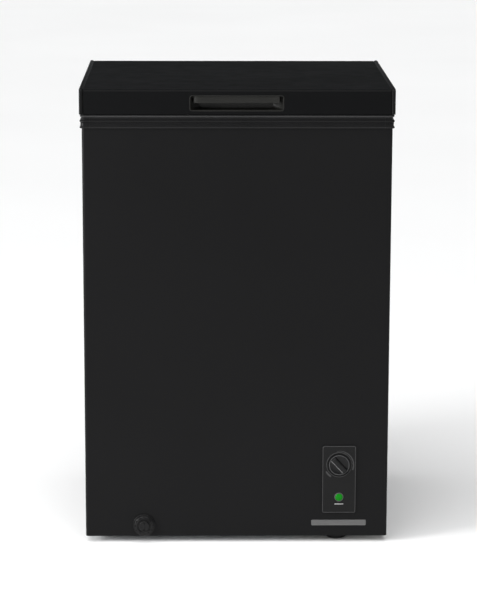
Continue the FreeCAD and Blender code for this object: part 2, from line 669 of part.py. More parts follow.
def controls():
    """The front panel, the thermostat with its knob, the lamp and their wiring."""
    x_range = ("panel_x - panel_half", "panel_x + panel_half")
    face = block_y("panel_plate", x_range, ("cabinet_front - 3", "cabinet_front"),
                   ("panel_low", "panel_high"), 5)
    face_edges = at_level("y", size("cabinet_front") - 3)
    chamfer(face, 1.2, 1.2, face_edges)
    boxed = box("panel_box", ("panel_x - panel_half + 4", "panel_x + panel_half - 4"),
                ("cabinet_front", "cabinet_front + 9"), ("panel_low + 4", "panel_high - 4"))
    inside = box("panel_inside", ("panel_x - panel_half + 6", "panel_x + panel_half - 6"),
                 ("cabinet_front - 0.5", "cabinet_front + 12"), ("panel_low + 6", "panel_high - 6"))
    dish = rod("panel_dish", "front", ("panel_x", "cabinet_front - 2", "knob_z"), 22.9, 8)
    shaft = rod("panel_shaft_hole", "front", ("panel_x", "cabinet_front + 20", "knob_z"), 3.55, 40)
    lamp = rod("panel_lamp_hole", "front", ("panel_x", "cabinet_front + 20", "lamp_z"), "lamp_radius", 40)
    node("control_panel", cut("panel", fuse("panel_body", face, boxed), inside, dish, shaft, lamp))

    grip = turned("knob_disc", "front", ("panel_x", 0, "knob_z"), [
        (0, -239.3), (18.6, -239.3), ("knob_radius", -240), ("knob_radius", -242),
        (18, -243.4), (0, -243.4)])
    bar = block_y("knob_bar", ("panel_x - 4.2", "panel_x + 4.2"), (-247.3, -242),
                  ("knob_z - 17.4", "knob_z + 17.4"), 4)
    fillet(bar, 1.2, at_level("y", -247.3))
    turned_bar = doc.addObject("Part::Feature", "knob_bar_turned")
    shape = bar.Shape.copy()
    shape.rotate(Vector(size("panel_x"), 0, size("knob_z")), Vector(0, 1, 0), -KNOB_TURN)
    turned_bar.Shape = shape
    stem = rod("knob_stem", "front", ("panel_x", "cabinet_front + 8", "knob_z"), 3.5, 12)
    node("thermostat_knob", fuse("knob", grip, turned_bar, stem))

    case = box("thermostat_case", ("panel_x - 19", "panel_x + 19"),
               ("cabinet_front + 12", "cabinet_front + 40"), ("knob_z - 17", "knob_z + 17"))
    bush = rod("thermostat_bush", "front", ("panel_x", "cabinet_front + 13", "knob_z"), 7, 4)
    bore = rod("thermostat_bore", "front", ("panel_x", "cabinet_front + 12", "knob_z"), 3.6, 12)
    node("thermostat_body", cut("thermostat", fuse("thermostat_shape", case, bush), bore))
    node("thermostat_sensing_tube", tube("sensing", [
        (175, -196.8, 160), (175, -165, 160), (175, -150, 204), (106.2, -150, 204)], 6, 1.2))

    lens = turned("lens", "front", ("panel_x", 0, "lamp_z"), [
        (0, -228), ("lamp_radius", -228), ("lamp_radius", -240.5), (6.2, -241.6),
        (3.6, -242.4), (0, -242.7)])
    node("indicator_lens", lens)
    node("indicator_holder", box("holder", ("panel_x - 9", "panel_x + 9"),
                                 (-227.9, -206), ("lamp_z - 9", "lamp_z + 9")))
    node("wiring_harness", tube("harness", [
        (190, -196.8, 145), (190, -160, 145), (230, -110, 100), (230, -60, 90), (188, -50, 90),
        (188, -20.3, 90)], 9, 3))

    node("badge_plate", block_y("badge", ("panel_x - badge_half", "panel_x + badge_half"),
                                ("cabinet_front - 0.9", "cabinet_front"), ("badge_low", "badge_high"), 2))


def drain():
    """The drain from the tub's floor to its pull-out dial at the front."""
    bezel = turned("bezel", "front", ("drain_x", 0, "drain_z"), [
        (14.1, -228), (15.9, -228), (15.9, -237), ("drain_radius", -237), ("drain_radius", -239.4),
        (19.2, -241), (14.1, -241)])
    node("drain_bezel", bezel)
    sleeve = turned("sleeve", "front", ("drain_x", 0, "drain_z"), [
        (11.5, -180), (14.05, -180), (14.05, -240.8), (11.5, -240.8)])
    node("drain_sleeve", sleeve)
    dial = turned("dial", "front", ("drain_x", 0, "drain_z"), [
        (0, -228), (11.45, -228), (11.45, -241.2), (18.2, -241.2), (18.2, -244.2), (14.6, -245.6),
        (12.6, -245.6), (12.6, -244.4), (9.6, -244.4), (9.6, -247.5), (0, -247.5)])
    notch = box("dial_notch", ("drain_x - 1.5", "drain_x + 1.5"), (-248, -246.6),
                ("drain_z - 8", "drain_z + 8"))
    node("drain_dial", cut("dial_notched", dial, notch))
    down = rod("pipe_down", "up", ("drain_x", "drain_y", "drain_z"), 9, "tub_floor + steel - drain_z")
    out = rod("pipe_out", "front", ("drain_x", "drain_y", "drain_z"), 9, 50)
    elbow = doc.addObject("Part::Sphere", "pipe_elbow")
    elbow.setExpression("Radius", bound(9))
    place(elbow, "drain_x", "drain_y", "drain_z")
    bore_down = rod("pipe_bore_down", "up", ("drain_x", "drain_y", "drain_z"), 7, 60)
    bore_out = rod("pipe_bore_out", "front", ("drain_x", "drain_y", "drain_z"), 7, 60)
    node("drain_pipe", cut("pipe", fuse("pipe_shape", down, out, elbow), bore_down, bore_out))
    plug = turned("plug", "up", ("drain_x", "drain_y", 0), [
        (0, 56), (6.92, 56), (6.92, 69.2), (14, 69.2), (14, 72), (5, 73), (5, 79), (0, 79)])
    node("tub_drain_plug", plug)


# ================================================================ lid
def lid():
    """The lid: pan, end caps, foam, inner panel and gasket."""
    def pan(name, grow, low, half):
        """The lid's section, drawn across X."""
        body = doc.addObject("PartDesign::Body", name)
        front, rear = "lid_front + %s" % grow, "lid_rear - %s" % grow
        top = "lid_top - %s" % grow
        outline = [(front, low), (rear, low), (rear, top), (front, top)]
        profile = sketch(body, name + "_side", "YZ_Plane", (0, 0, "-(%s)" % half), outline)
        pad(body, profile, "2 * (%s)" % half)
        upper_front = both(at_level("z", number(top)), at_level("y", number(front)))
        fillet(body, "lid_round - %s" % grow, upper_front)
        return body

    inner_half = "lid_half - cap_width"
    outside = pan("lid_outside", 0, "lid_skirt", inner_half)
    inside = pan("lid_inside", "lid_sheet", "lid_skirt - 5", "lid_half + 5")
    recess_x = ("grip_middle - recess_half", "grip_middle + recess_half")
    window = block_y("handle_window", recess_x, ("lid_front - 5", "lid_front + recess_depth"),
                     ("recess_low", "recess_high"), 5)
    node("lid_outer_panel", cut("lid_pan", outside, inside, window))

    sides = {"left": ("-lid_half", "-(%s)" % inner_half), "right": (inner_half, "lid_half")}
    for name, x_range in sides.items():
        cap = doc.addObject("PartDesign::Body", "cap_" + name)
        outline = [("lid_front", "lid_skirt"), ("lid_rear", "lid_skirt"),
                   ("lid_rear", "rim_top"), ("lid_front", "rim_top")]
        profile = sketch(cap, "cap_side_" + name, "YZ_Plane", (0, 0, x_range[0]), outline)
        pad(cap, profile, "cap_width")
        fillet(cap, "lid_round + 1", both(at_level("z", size("rim_top")), at_level("y", size("lid_front"))))
        outer = number(x_range[0]) if name == "left" else number(x_range[1])
        fillet(cap, 2.4, at_level("x", outer))
        node("lid_end_cap_" + name, cap)

    foam = pan("lid_foam_mass", "lid_sheet", "liner_flange + 1.2", inner_half)
    cup = block_y("handle_space", recess_x, ("lid_front - 5", "lid_front + recess_depth"),
                  ("recess_low - 3", "recess_high"), 5)
    field_x = ("plug_gap - tub_half", "tub_half - plug_gap")
    field_y = ("tub_front + plug_gap", "tub_rear - plug_gap")
    field = block("field_outside", field_x, field_y, ("liner_low", "liner_flange + 1.2"), 22)
    fillet(field, 6, at_level("z", size("liner_low")))
    hollow = block("field_inside", ("%s + 1.2" % field_x[0], "%s - 1.2" % field_x[1]),
                   ("%s + 1.2" % field_y[0], "%s - 1.2" % field_y[1]),
                   ("liner_low + 1.2", "liner_flange + 2"), 20.8)
    fillet(hollow, 4.8, at_level("z", number("liner_low + 1.2")))
    node("lid_foam", cut("lid_insulation", fuse("lid_foam_whole", foam, hollow), cup))

    sheet_plate = box("liner_sheet", ("-(%s)" % inner_half, inner_half),
                      ("lid_front + recess_depth + 0.5", "lid_rear - lid_sheet"),
                      ("liner_flange", "liner_flange + 1.2"))
    strips = [box("liner_strip_%d" % index, x_range,
                  ("lid_front + lid_sheet", "lid_front + recess_depth + 1"),
                  ("liner_flange", "liner_flange + 1.2"))
              for index, x_range in enumerate((("-(%s)" % inner_half, "%s - 0.5" % recess_x[0]),
                                               ("%s + 0.5" % recess_x[1], inner_half)))]
    flat = fuse("liner_flat", sheet_plate, *strips, field)
    node("lid_liner", cut("liner_panel", flat, hollow))

    ring = block("gasket_outside", ("-gasket_half", "gasket_half"), (-213, 203),
                 ("collar_top + 0.3", "liner_flange"), 14)
    chamfer(ring, 4, 2.5, at_level("z", number("collar_top + 0.3")))
    hole = block("gasket_inside", ("gasket_wide - gasket_half", "gasket_half - gasket_wide"),
                 (-196, 186), ("collar_top - 3", "liner_flange + 3"), 8)
    node("lid_gasket", cut("gasket", ring, hole))

    cup_body = block_y("bezel_outside", recess_x, ("lid_front", "lid_front + recess_depth"),
                       ("recess_low", "recess_high"), 5)
    cup_hollow = block_y("bezel_inside", ("%s + bezel_wall" % recess_x[0], "%s - bezel_wall" % recess_x[1]),
                         ("lid_front - 5", "lid_front + recess_depth - bezel_wall"),
                         ("recess_low + bezel_wall", "recess_high - bezel_wall"), 3.4)
    node("handle_cup", cut("cup", cup_body, cup_hollow))
    grip = box("grip_front", ("%s + bezel_wall" % recess_x[0], "%s - bezel_wall" % recess_x[1]),
               ("lid_front + 0.8", "lid_front + 6.8"), ("grip_low", "recess_high - bezel_wall"))
    node("handle_grip", common("grip", grip, cup_hollow))


# ================================================================ hinges
def hinges():
    """Two spring hinges: a channel on the cabinet, an arm on the lid, a spring and its plunger."""
    bases, arms, pins, springs, plungers, covers = [], [], [], [], [], []
    for side, middle in (("left", "-hinge_x"), ("right", "hinge_x")):
        def across(low, high):
            return ("%s + (%s)" % (middle, low), "%s + (%s)" % (middle, high))

        back = box("base_back_" + side, across(-10.5, 10.5),
                   ("cabinet_rear", "cabinet_rear + 1.5"), (680, 774))
        cheeks = []
        for name, low, high in (("a", -10.5, -9), ("b", 9, 10.5)):
            cheeks.append(box("cheek_%s_%s" % (name, side), across(low, high),
                              ("cabinet_rear", "pivot_y + 5.5"), (680, 774)))
            cheeks.append(box("cheek_top_%s_%s" % (name, side), across(low, high),
                              ("lid_rear + 0.4", "pivot_y + 5.5"), (774, "pivot_z")))
            cheeks.append(rod("ear_%s_%s" % (name, side), "right",
                              ("%s + (%s)" % (middle, low), "pivot_y", "pivot_z"), 5.5, 1.5))
        shelf = box("spring_shelf_" + side, across(-9, 9), ("cabinet_rear + 1.5", "pivot_y + 5"), (702, 704))
        guide = box("plunger_guide_" + side, across(-9, 9), ("cabinet_rear + 1.5", "pivot_y + 5"), (768, 772))
        shape = fuse("base_shape_" + side, back, shelf, guide, *cheeks)
        pin_hole = rod("base_pin_hole_" + side, "right",
                       ("%s - 12" % middle, "pivot_y", "pivot_z"), "pin_radius", 24)
        guide_hole = rod("guide_hole_" + side, "up", (middle, "plunger_y", 760), "plunger_radius + 0.08", 30)
        bases.append(cut("base_" + side, shape, pin_hole, guide_hole))

        pins.append(rod("pin_" + side, "right", ("%s - 11.5" % middle, "pivot_y", "pivot_z"), "pin_radius", 23))

        lugs = []
        for name, low in (("a", -8.5), ("b", 5.5)):
            lugs.append(rod("lug_%s_%s" % (name, side), "right",
                            ("%s + (%s)" % (middle, low), "pivot_y", "pivot_z"), 7.5, 3))
            lugs.append(box("neck_%s_%s" % (name, side), across(low, low + 3),
                            ("lid_rear + 0.2", "pivot_y"), ("pivot_z", 812)))
        plate = box("arm_plate_" + side, across(-13, 13), ("lid_rear", "lid_rear + 2"), (806.8, 839))
        roller = rod("arm_roller_" + side, "right",
                     ("%s - 8.5" % middle, "pivot_y - 5.2", "pivot_z - 2.6"), 1.7, 17)
        arm = fuse("arm_shape_" + side, plate, roller, *lugs)
        bore = rod("arm_bore_" + side, "right", ("%s - 12" % middle, "pivot_y", "pivot_z"),
                   "pin_radius + pin_play", 24)
        arms.append(cut("arm_" + side, arm, bore))

        stem = rod("plunger_stem_" + side, "up", (middle, "plunger_y", 752), "plunger_radius", 42.4)
        head = rod("plunger_head_" + side, "up", (middle, "plunger_y", 752), 4, 3)
        plungers.append(fuse("plunger_" + side, stem, head))

        coil = doc.addObject("Part::Helix", "spring_line_" + side)
        coil.Pitch = 5.2
        coil.Height = 44.2
        coil.Radius = 3.4
        ring = doc.addObject("Part::Feature", "spring_ring_" + side)
        ring.Shape = Part.Wire([Part.Circle(Vector(3.4, 0, 0), Vector(0, 1, 0), 0.7).toShape()])
        spring = doc.addObject("Part::Sweep", "spring_" + side)
        spring.Sections = [ring]
        spring.Spine = (coil, ["Edge1"])
        spring.Solid = True
        spring.Frenet = True
        place(spring, middle, "plunger_y", 705)
        springs.append(spring)

        outer = box("cover_outer_" + side, across(-13, 13),
                    ("cabinet_rear", "cabinet_rear + 20.5"), (676, 774))
        inner = box("cover_inner_" + side, across(-11, 11),
                    ("cabinet_rear - 5", "cabinet_rear + 18.9"), (678, 780))
        covers.append(cut("hinge_cover_part_" + side, outer, inner))

        node("hinge_base_" + side, bases[-1])
    node("hinge_arms", group("hinge_arm_pair", *arms))
    node("hinge_pins", group("pins", *pins))
    node("hinge_springs", group("springs", *springs))
    node("hinge_plungers", group("plungers", *plungers))
    node("hinge_covers", group("hinge_cover_parts", *covers))

    screw = turned("arm_screw", "front", (0, 0, 0), [
        (0, 226), (1.8, 226), (1.8, 233), (3.4, 233), (2.6, 234.6), (0, 234.6)])
    places = [(sx * size("hinge_x") + dx, 0, z) for sx in (-1, 1) for dx in (-9, 9) for z in (817, 832)]
    node("hinge_arm_screws", copies("arm_screws", screw, places))


# ================================================================ basket
def basket():
    """A wire basket that hangs across the tub and slides along it."""
    left, right = 19.5 - size("tub_half"), -24
    front, rear = size("tub_front") + 9, size("tub_rear") - 9
    low, high = 610, 776
    thick, thin = 2, 1.25
    parts = []

    def wire(points, bend, radius):
        parts.append(tube("basket_wire_%d" % len(parts), points, bend, radius))

    def loop(level, grow, radius):
        half = (left + right) / 2
        corners = [(half, front - grow, level), (right + grow, front - grow, level),
                   (right + grow, rear + grow, level), (left - grow, rear + grow, level),
                   (left - grow, front - grow, level), (half, front - grow, level)]
        wire(corners, 16, radius)

    loop(high, 0, thick)
    loop(low + 90, 0, thin)
    count = 6
    for index in range(count):
        x = left + 14 + (right - left - 28) * index / (count - 1)
        wire([(x, front, high), (x, front, low), (x, rear, low), (x, rear, high)], 14, thin)
    count = 9
    for index in range(count):
        y = front + 22 + (rear - front - 44) * index / (count - 1)
        wire([(left, y, high), (left, y, low + 2), (right, y, low + 2), (right, y, high)], 14, thin)
    rest = size("collar_top") + 0.3 + thick
    for x in (left + 26, right - 26):
        for edge, out in ((front, -1), (rear, 1)):
            wire([(x, edge, high - 4), (x, edge, rest), (x, edge + out * 14, rest)], 5, thick)
    shape = parts[0].Shape.multiFuse([part.Shape for part in parts[1:]])
    piece = doc.addObject("Part::Feature", "basket")
    piece.Shape = shape
    node("storage_basket", piece)


cabinet_sheets()
tub_and_foam(coils())
collar()
feet()
compressor()
cooling_tubes()
bay_covers()
controls()
drain()
lid()
hinges()
basket()

# ================================================================ checks and files
doc.recompute()
for item in doc.Objects:
    if "Invalid" in item.State or "Error" in item.State:
        raise RuntimeError("%s failed: %s" % (item.Label, item.State))
os.makedirs("parts", exist_ok=True)
for piece in pieces:
    shape = piece.Shape
    if shape.isNull() or not shape.isValid() or not shape.Solids:
        raise RuntimeError("%s has no valid solid" % piece.Label)
    print("%-26s solids %2d volume %12.1f" % (piece.Label, len(shape.Solids), shape.Volume))
    shape.exportStep("parts/%s.step" % piece.Label)
print(len(pieces), "nodes")
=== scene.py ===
"""Looks for the chest freezer: camera, light, materials and the fine pieces around the CAD frame."""

import json
import math

import bmesh
import bpy
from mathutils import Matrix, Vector


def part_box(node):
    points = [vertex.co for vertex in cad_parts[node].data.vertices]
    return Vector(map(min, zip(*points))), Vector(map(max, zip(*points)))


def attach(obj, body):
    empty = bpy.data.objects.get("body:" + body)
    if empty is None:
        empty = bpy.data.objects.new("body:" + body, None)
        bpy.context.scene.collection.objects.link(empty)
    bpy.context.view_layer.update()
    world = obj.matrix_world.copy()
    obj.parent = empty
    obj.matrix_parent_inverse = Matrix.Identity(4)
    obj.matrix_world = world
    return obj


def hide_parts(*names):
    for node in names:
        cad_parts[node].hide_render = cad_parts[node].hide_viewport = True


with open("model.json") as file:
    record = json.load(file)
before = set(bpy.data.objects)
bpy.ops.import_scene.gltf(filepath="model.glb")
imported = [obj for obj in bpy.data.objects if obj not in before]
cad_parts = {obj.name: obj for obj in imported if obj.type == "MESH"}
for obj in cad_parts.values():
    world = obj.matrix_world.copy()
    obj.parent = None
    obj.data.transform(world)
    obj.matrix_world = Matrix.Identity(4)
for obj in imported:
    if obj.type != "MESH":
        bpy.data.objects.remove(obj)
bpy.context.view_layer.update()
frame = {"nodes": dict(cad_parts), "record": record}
nodes = frame["nodes"]
scene = bpy.context.scene
scene.view_settings.view_transform = "Standard"

MM = 0.001
LID_FRONT_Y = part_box("lid_outer_panel")[0].y


# ---------------------------------------------------------------- camera
def make_camera():
    """The view from a little left of the middle, above the lid, looking down at the front."""
    distance = 4.300          # from the lid's front face
    height = 1.364
    left = 0.064
    pitch = math.radians(11.87)
    yaw = math.radians(0.86)
    roll = math.radians(-0.14)
    data = bpy.data.cameras.new("camera")
    data.sensor_width = 36.0
    data.lens = 145.3
    camera = bpy.data.objects.new("camera", data)
    camera.location = (-left, LID_FRONT_Y - distance, height)
    camera.rotation_euler = (math.pi / 2 - pitch, roll, -yaw)
    scene.collection.objects.link(camera)
    scene.camera = camera


# ---------------------------------------------------------------- materials
class Nodes:
    """A small hand for building node trees."""

    def __init__(self, name):
        self.material = bpy.data.materials.new(name)
        self.material.use_nodes = True
        self.tree = self.material.node_tree
        self.shader = self.tree.nodes["Principled BSDF"]
        self.place = self.add("ShaderNodeTexCoord").outputs["Object"]

    def add(self, kind, **settings):
        node = self.tree.nodes.new(kind)
        for key, value in settings.items():
            setattr(node, key, value)
        return node

    def link(self, source, target):
        self.tree.links.new(source, target)

    def noise(self, scale, detail=2.0, rough=0.5, stretch=None):
        """Noise at so many features to the metre."""
        node = self.add("ShaderNodeTexNoise")
        node.inputs["Scale"].default_value = scale
        node.inputs["Detail"].default_value = detail
        node.inputs["Roughness"].default_value = rough
        self.link(self.stretched(stretch), node.inputs["Vector"])
        return node.outputs["Fac"]

    def cells(self, scale, feature="F1"):
        """Distance to the nearest of so many cells to the metre."""
        node = self.add("ShaderNodeTexVoronoi", feature=feature)
        node.inputs["Scale"].default_value = scale
        self.link(self.place, node.inputs["Vector"])
        return node.outputs["Distance"]

    def stretched(self, stretch):
        """Object coordinates, scaled along each axis where a stretch is given."""
        if stretch is None:
            return self.place
        node = self.add("ShaderNodeMapping")
        node.inputs["Scale"].default_value = stretch
        self.link(self.place, node.inputs["Vector"])
        return node.outputs["Vector"]

    def range(self, value, low, high, start=0.3, end=0.7):
        """A value between start and end turned to one between low and high."""
        node = self.add("ShaderNodeMapRange")
        node.inputs["From Min"].default_value = start
        node.inputs["From Max"].default_value = end
        node.inputs["To Min"].default_value = low
        node.inputs["To Max"].default_value = high
        self.link(value, node.inputs["Value"])
        return node.outputs["Result"]

    def mix(self, factor, first, second):
        """A blend of two colours."""
        node = self.add("ShaderNodeMix", data_type="RGBA")
        node.inputs["A"].default_value = (*first, 1)
        node.inputs["B"].default_value = (*second, 1)
        self.link(factor, node.inputs["Factor"])
        return node.outputs["Result"]

    def bump(self, layers):
        """Stacked bumps: each layer is (height, distance in metres, strength)."""
        normal = None
        for height, distance, strength in layers:
            node = self.add("ShaderNodeBump")
            node.inputs["Distance"].default_value = distance
            node.inputs["Strength"].default_value = strength
            self.link(height, node.inputs["Height"])
            if normal is not None:
                self.link(normal, node.inputs["Normal"])
            normal = node.outputs["Normal"]
        self.link(normal, self.shader.inputs["Normal"])


def shade(colour, factor):
    """A colour made lighter or darker."""
    return tuple(channel * factor for channel in colour)


def coated_steel(name, colour, rough, peel=0.35, wave=0.25, specular=0.11):
    """Powder or film coated sheet: fine orange peel over slow waves in the sheet."""
    made = Nodes(name)
    made.shader.inputs["Specular IOR Level"].default_value = specular
    slow = made.noise(2.2, 2.0, 0.5)
    made.link(made.mix(made.range(slow, 0, 1), shade(colour, 0.9), shade(colour, 1.1)),
              made.shader.inputs["Base Color"])
    made.link(made.range(made.noise(35, 3), rough - 0.03, rough + 0.03), made.shader.inputs["Roughness"])
    made.bump([
        (made.noise(3.0, 1.0), 0.02, wave),
        (made.noise(900, 2.0), 0.00006, peel),
    ])
    return made.material


def moulded(name, colour, rough, grain=1400, depth=0.00005, strength=0.4, specular=0.2, vary=0.08):
    """Injection moulded plastic with a fine spark-eroded texture."""
    made = Nodes(name)
    tone = made.range(made.noise(14, 3), 0, 1)
    made.link(made.mix(tone, shade(colour, 1 - vary), shade(colour, 1 + vary)),
              made.shader.inputs["Base Color"])
    made.link(made.range(made.noise(90, 4), rough - 0.05, rough + 0.05), made.shader.inputs["Roughness"])
    made.shader.inputs["Specular IOR Level"].default_value = specular
    made.bump([(made.noise(grain, 3.0, 0.6), depth, strength)])
    return made.material


def metal(name, colour, rough, brushed=None, spangle=False):
    """Bare metal; brushed streaks or galvanised crystals where asked."""
    made = Nodes(name)
    made.shader.inputs["Metallic"].default_value = 1.0
    if spangle:
        value = made.range(made.cells(110), 0, 1, 0.0, 0.7)
    else:
        value = made.range(made.noise(40, 3, 0.6, brushed), 0, 1)
    darker = 0.93 if spangle else 0.84
    made.link(made.mix(value, shade(colour, darker), colour), made.shader.inputs["Base Color"])
    made.link(made.range(made.noise(160, 3, 0.6, brushed), rough - 0.07, rough + 0.07),
              made.shader.inputs["Roughness"])
    made.bump([(made.noise(700, 2, 0.5, brushed), 0.00004, 0.3)])
    return made.material


def embossed_sheet(name):
    """Stucco embossed aluminium, as freezer tubs have."""
    made = Nodes(name)
    made.shader.inputs["Metallic"].default_value = 0.85
    cells = made.cells(190, "SMOOTH_F1")
    made.link(made.mix(made.range(made.noise(9, 3), 0, 1), (0.66, 0.67, 0.69), (0.78, 0.79, 0.81)),
              made.shader.inputs["Base Color"])
    made.link(made.range(made.noise(60, 3), 0.34, 0.46), made.shader.inputs["Roughness"])
    made.bump([(cells, 0.0012, 0.55), (made.noise(1200, 2), 0.00005, 0.3)])
    return made.material


def rubber(name, colour, rough=0.6):
    """Soft dull rubber with a faint bloom."""
    made = Nodes(name)
    made.link(made.mix(made.range(made.noise(22, 3), 0, 1), shade(colour, 0.85), shade(colour, 1.15)),
              made.shader.inputs["Base Color"])
    made.link(made.range(made.noise(120, 3), rough - 0.06, rough + 0.08), made.shader.inputs["Roughness"])
    made.bump([(made.noise(800, 3), 0.00008, 0.35)])
    return made.material


def foam(name):
    """Sprayed polyurethane with open cells."""
    made = Nodes(name)
    made.link(made.mix(made.range(made.noise(60, 4), 0, 1), (0.66, 0.55, 0.28), (0.80, 0.70, 0.42)),
              made.shader.inputs["Base Color"])
    made.shader.inputs["Roughness"].default_value = 0.95
    made.bump([(made.cells(260), 0.0015, 0.7), (made.noise(40, 4), 0.002, 0.5)])
    return made.material


def lens(name):
    """Tinted plastic with a dim green lamp behind it."""
    made = Nodes(name)
    core = made.range(made.noise(300, 2), 0, 1)
    made.link(made.mix(core, (0.002, 0.10, 0.003), (0.004, 0.15, 0.006)), made.shader.inputs["Base Color"])
    made.shader.inputs["Roughness"].default_value = 0.2
    made.shader.inputs["Specular IOR Level"].default_value = 0.1
    made.shader.inputs["Emission Color"].default_value = (0.004, 0.15, 0.006, 1)
    made.shader.inputs["Emission Strength"].default_value = 0.4
    made.bump([(made.noise(900, 2), 0.00003, 0.2)])
    return made.material


BLACK = (0.0050, 0.0050, 0.0053)
WHITE = (0.74, 0.75, 0.75)
finish = {
    "painted_steel": coated_steel("coated_black_steel", BLACK, 0.42),
    "lid_steel": coated_steel("coated_black_lid", (0.0025, 0.0026, 0.0029), 0.5, specular=0.075),
    "lid_trim": moulded("lid_trim_black", (0.0042, 0.0042, 0.0045), 0.4, specular=0.12),
    "black_plastic": moulded("moulded_black", (0.0055, 0.0055, 0.0055), 0.42),
    "cup_plastic": moulded("cup_black", (0.0082, 0.0081, 0.0072), 0.42, specular=0.34),
    "grip_plastic": moulded("grip_black", (0.0125, 0.0125, 0.0114), 0.5, specular=0.16),
    "collar_plastic": moulded("collar_black", (0.0052, 0.0052, 0.0055), 0.4, specular=0.13),
    "panel_plastic": moulded("panel_black", (0.0062, 0.0062, 0.0064), 0.4, specular=0.16),
    # grey for the collar's top edge: painted highlight, for the light that edge catches under the lid
    "edge_highlight_plastic": moulded("collar_edge_painted_highlight", (0.032, 0.032, 0.0325), 0.4, 600, specular=0.15),
    "knob_plastic": moulded("knob_black", (0.0055, 0.0055, 0.0058), 0.34, specular=0.22),
    # lighter grey for the knob's rim and the lamp's collar: painted highlight, for the light these rounded
    # edges catch
    "rim_highlight_plastic": moulded("rim_painted_highlight_grey", (0.075, 0.075, 0.076), 0.34, 600, specular=0.3),
    # printed grey for the panel's outline and the dial's scale; on the dial's rim bead the same grey is
    # painted highlight
    "print_and_highlight_grey": moulded("printed_and_highlight_grey", (0.042, 0.042, 0.0425), 0.5, 500, specular=0.2),
    # printed white for the bar under the lamp; on the knob's flank the same white is painted highlight
    "print_and_highlight_white": moulded("printed_and_highlight_white", (0.30, 0.30, 0.30), 0.5, 500, specular=0.2),
    "drain_plastic": moulded("drain_black", (0.0054, 0.0054, 0.0057), 0.36, specular=0.2),
    "white_plastic": moulded("white_polystyrene", WHITE, 0.32, 500, 0.00004, specular=0.5, vary=0.015),
    "rear_steel": metal("galvanised_steel", (0.50, 0.51, 0.52), 0.42, spangle=True),
    "bay_steel": metal("zinc_plated_plate", (0.55, 0.55, 0.54), 0.4),
    "bright_steel": metal("zinc_plated_small", (0.66, 0.66, 0.65), 0.3),
    "insulation": foam("polyurethane_foam"),
    "tub_sheet": embossed_sheet("embossed_aluminium"),
    "coil_aluminium": metal("coil_aluminium", (0.7, 0.71, 0.72), 0.35),
    "coil_steel": metal("coil_steel", (0.3, 0.3, 0.31), 0.4),
    "copper": metal("copper_tube", (0.78, 0.36, 0.20), 0.28),
    "gasket_rubber": rubber("gasket_grey", (0.05, 0.05, 0.052)),
    "mount_rubber": rubber("mount_rubber_black", (0.012, 0.012, 0.012)),
    "compressor_paint": coated_steel("compressor_enamel", (0.008, 0.008, 0.008), 0.3, 0.6, specular=0.5),
    "relay_plastic": moulded("relay_ivory", (0.5, 0.48, 0.42), 0.5, specular=0.4),
    "lens_plastic": lens("lamp_green"),
    "harness_plastic": moulded("harness_black", (0.01, 0.01, 0.01), 0.5),
    "badge_metal": metal("badge_satin", (0.165, 0.164, 0.163), 0.4, brushed=(1, 8, 40)),
    "basket_wire": moulded("wire_white_coat", (0.72, 0.73, 0.73), 0.25, 600, 0.00004, specular=0.5),
}


def dress_cad_nodes():
    """Each CAD node takes the finish of its slot in the record."""
    for subpart in frame["record"]["subparts"]:
        node = nodes[subpart["node"]]
        node.data.materials.clear()
        node.data.materials.append(finish[subpart["material_slot"]])


# ---------------------------------------------------------------- mesh tools
def skin(rings, cap_first=True, cap_last=True, closed=False):
    """Points and faces of a surface through rings of equally many points."""
    count = len(rings[0])
    points = [point for ring in rings for point in ring]
    faces = []
    for row in range(len(rings) if closed else len(rings) - 1):
        following = (row + 1) % len(rings)
        for index in range(count):
            after = (index + 1) % count
            faces.append((row * count + index, row * count + after,
                          following * count + after, following * count + index))
    if not closed and cap_first:
        faces.append(tuple(reversed(range(count))))
    if not closed and cap_last:
        faces.append(tuple(range((len(rings) - 1) * count, len(rings) * count)))
    return points, faces


def piece(name, body, slot, surfaces, stands_for=(), look=None, sharp=38):
    """A new object from one or more surfaces, riding on a body."""
    points, faces = [], []
    for surface_points, surface_faces in surfaces:
        start = len(points)
        points += surface_points
        faces += [tuple(start + index for index in face) for face in surface_faces]
    mesh = bpy.data.meshes.new(name)
    mesh.from_pydata([tuple(point) for point in points], [], faces)
    work = bmesh.new()
    work.from_mesh(mesh)
    bmesh.ops.recalc_face_normals(work, faces=work.faces)
    work.to_mesh(mesh)
    work.free()
    mesh.polygons.foreach_set("use_smooth", [True] * len(mesh.polygons))
    mesh.set_sharp_from_angle(angle=math.radians(sharp))
    made = bpy.data.objects.new(name, mesh)
    made.data.materials.append(finish[look or slot])
    scene.collection.objects.link(made)
    if stands_for:
        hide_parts(*stands_for)
    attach(made, body)
    return made


def rounded_outline(half_u, half_v, radius, steps=8):
    """A rounded rectangle about nought, anticlockwise from the right side."""
    points = []
    for quarter, (su, sv) in enumerate(((1, 1), (-1, 1), (-1, -1), (1, -1))):
        for step in range(steps + 1):
            angle = math.pi / 2 * (quarter + step / steps)
            points.append((su * (half_u - radius) + radius * math.cos(angle),
                           sv * (half_v - radius) + radius * math.sin(angle)))
    return points


def front_rings(centre, half_u, half_v, radius, levels):
    """Rounded rectangles facing the front; each level is (inset, how far out of the centre's plane)."""
    rings = []
    for inset, out in levels:
        outline = rounded_outline(half_u - inset, half_v - inset, max(radius - inset, 0.0006))
        rings.append([Vector((centre.x + u, centre.y - out, centre.z + v)) for u, v in outline])
    return rings


def lathe(centre, outline, way="front", steps=72, closed=False):
    """A turned surface; its outline is (radius, height along the axis) pairs."""
    rings = []
    for radius, height in outline:
        ring = []
        for step in range(steps):
            angle = 2 * math.pi * step / steps
            u, v = radius * math.cos(angle), radius * math.sin(angle)
            offset = Vector((u, -height, v)) if way == "front" else Vector((u, v, height))
            ring.append(centre + offset)
        rings.append(ring)
    return skin(rings, closed=closed)


